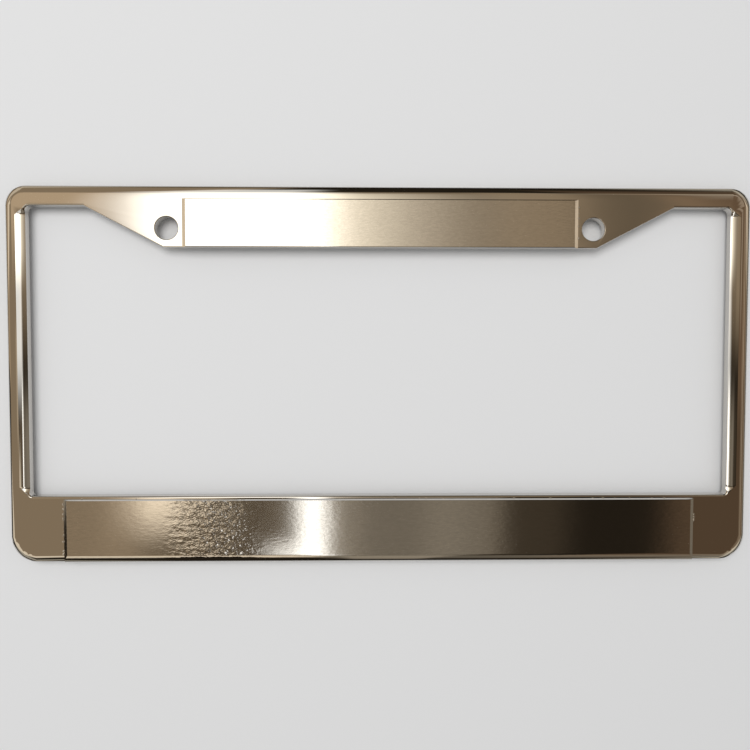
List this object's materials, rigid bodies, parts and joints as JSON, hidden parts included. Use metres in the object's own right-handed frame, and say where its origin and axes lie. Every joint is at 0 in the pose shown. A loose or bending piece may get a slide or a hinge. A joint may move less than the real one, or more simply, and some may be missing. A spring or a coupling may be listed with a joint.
{
  "type": "number plate frame",
  "caption": "Rectangular chromed frame that lies over the front of a number plate, with a wide window and screw holes in the top rail.",
  "frame": {"origin": "middle of the frame's back, on the plane that its skirt rests on", "axes": "+X along the frame, +Y up towards the rail with the screw holes, +Z out of the front face"},
  "size_m": [0.312, 0.158, 0.0068],
  "materials": {
    "chrome": "polished chrome plating"
  },
  "bodies": {
    "root": {"plate_frame": "chrome"}
  },
  "joints": []
}
